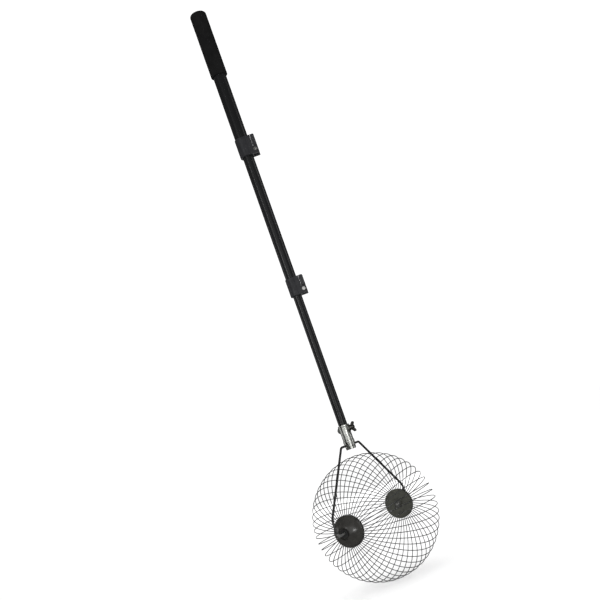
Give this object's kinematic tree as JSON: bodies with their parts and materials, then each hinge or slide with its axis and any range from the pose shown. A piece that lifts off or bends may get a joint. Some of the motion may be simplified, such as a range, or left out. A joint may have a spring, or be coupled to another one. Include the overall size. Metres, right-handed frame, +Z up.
{
  "type": "ball retriever",
  "caption": "Wire cage that rolls in a yoke on a telescopic pole with lever clamps and a foam grip; balls push in between its wires.",
  "frame": {"origin": "on the ground under the pole: bottom centre of the part's box, below the cage's axle", "axes": "+Z up the pole, Y along the cage's axle, +X towards the wing nut"},
  "size_m": [0.278, 0.367, 1.3868],
  "materials": {
    "grip_foam": "matte closed-cell foam",
    "pole_black": "satin black powder coat",
    "plug_plastic": "moulded",
    "clamp_plastic": "moulded, fine texture",
    "lever_plastic": "moulded, ribbed",
    "bush_plastic": "moulded nylon",
    "bracket_zinc": "zinc plated",
    "bolt_steel": "zinc plated",
    "nut_steel": "zinc plated",
    "small_steel": "bright",
    "yoke_black": "black coated wire",
    "hub_black": "gloss black",
    "disc_dark": "moulded",
    "cage_wire": "drawn spring wire"
  },
  "bodies": {
    "handle": {"foam_grip": "grip_foam", "upper_tube": "pole_black", "upper_tube_plug": "plug_plastic", "upper_clamp_collar": "clamp_plastic", "upper_clamp_pin": "small_steel", "upper_clamp_shoe": "bush_plastic", "upper_clamp_screw": "small_steel"},
    "upper_lever": {"upper_clamp_lever": "lever_plastic"},
    "middle_slider": {"middle_bush": "bush_plastic"},
    "middle_section": {"middle_tube": "pole_black", "lower_clamp_collar": "clamp_plastic", "lower_clamp_pin": "small_steel", "lower_clamp_shoe": "bush_plastic", "lower_clamp_screw": "small_steel"},
    "lower_lever": {"lower_clamp_lever": "lever_plastic"},
    "lower_slider": {"lower_bush": "bush_plastic"},
    "lower_section": {"lower_tube": "pole_black", "lower_tube_spacer": "plug_plastic", "bracket_left_half": "bracket_zinc", "bracket_right_half": "bracket_zinc", "bracket_bolt": "bolt_steel", "bracket_washer": "bolt_steel", "yoke_wire": "yoke_black", "near_pin_washer": "small_steel", "far_pin_washer": "small_steel", "near_split_pin": "small_steel", "far_split_pin": "small_steel"},
    "nut": {"wing_nut": "nut_steel"},
    "cage": {"near_hub_cap": "hub_black", "far_hub_cap": "hub_black", "near_hub_ring": "hub_black", "far_hub_ring": "hub_black", "near_hub_disc": "disc_dark", "far_hub_disc": "disc_dark", "near_hub_bush": "plug_plastic", "far_hub_bush": "plug_plastic", "near_hub_screw": "small_steel", "far_hub_screw": "small_steel", "cage_wires_1": "cage_wire", "cage_wires_2": "cage_wire", "cage_wires_3": "cage_wire", "cage_wires_4": "cage_wire"}
  },
  "joints": [
    {"name": "upper_lever_hinge", "type": "hinge", "parent": "handle", "child": "upper_lever", "pos_m": [0.02013, 0.0107, 1.0168], "axis": [-0.4695, 0.8829, 0], "range_deg": [0, 100]},
    {"name": "middle_slide", "type": "slide", "parent": "handle", "child": "middle_slider", "axis": [0, 0, 1], "range_m": [0, 0.3]},
    {"name": "middle_turn", "type": "hinge", "parent": "middle_slider", "child": "middle_section", "pos_m": [0, 0, 1.039], "axis": [0, 0, 1], "continuous": true},
    {"name": "lower_lever_hinge", "type": "hinge", "parent": "middle_section", "child": "lower_lever", "pos_m": [0.01748, 0.0093, 0.668], "axis": [-0.4695, 0.8829, 0], "range_deg": [0, 100]},
    {"name": "lower_slide", "type": "slide", "parent": "middle_section", "child": "lower_slider", "axis": [0, 0, 1], "range_m": [0, 0.3]},
    {"name": "lower_turn", "type": "hinge", "parent": "lower_slider", "child": "lower_section", "pos_m": [0, 0, 0.689], "axis": [0, 0, 1], "continuous": true},
    {"name": "wing_nut_turn", "type": "hinge", "parent": "lower_section", "child": "nut", "pos_m": [0, 0, 0.339], "axis": [1, 0, 0], "continuous": true},
    {"name": "cage_roll", "type": "hinge", "parent": "lower_section", "child": "cage", "pos_m": [0, 0, 0.139], "axis": [0, 1, 0], "continuous": true}
  ]
}
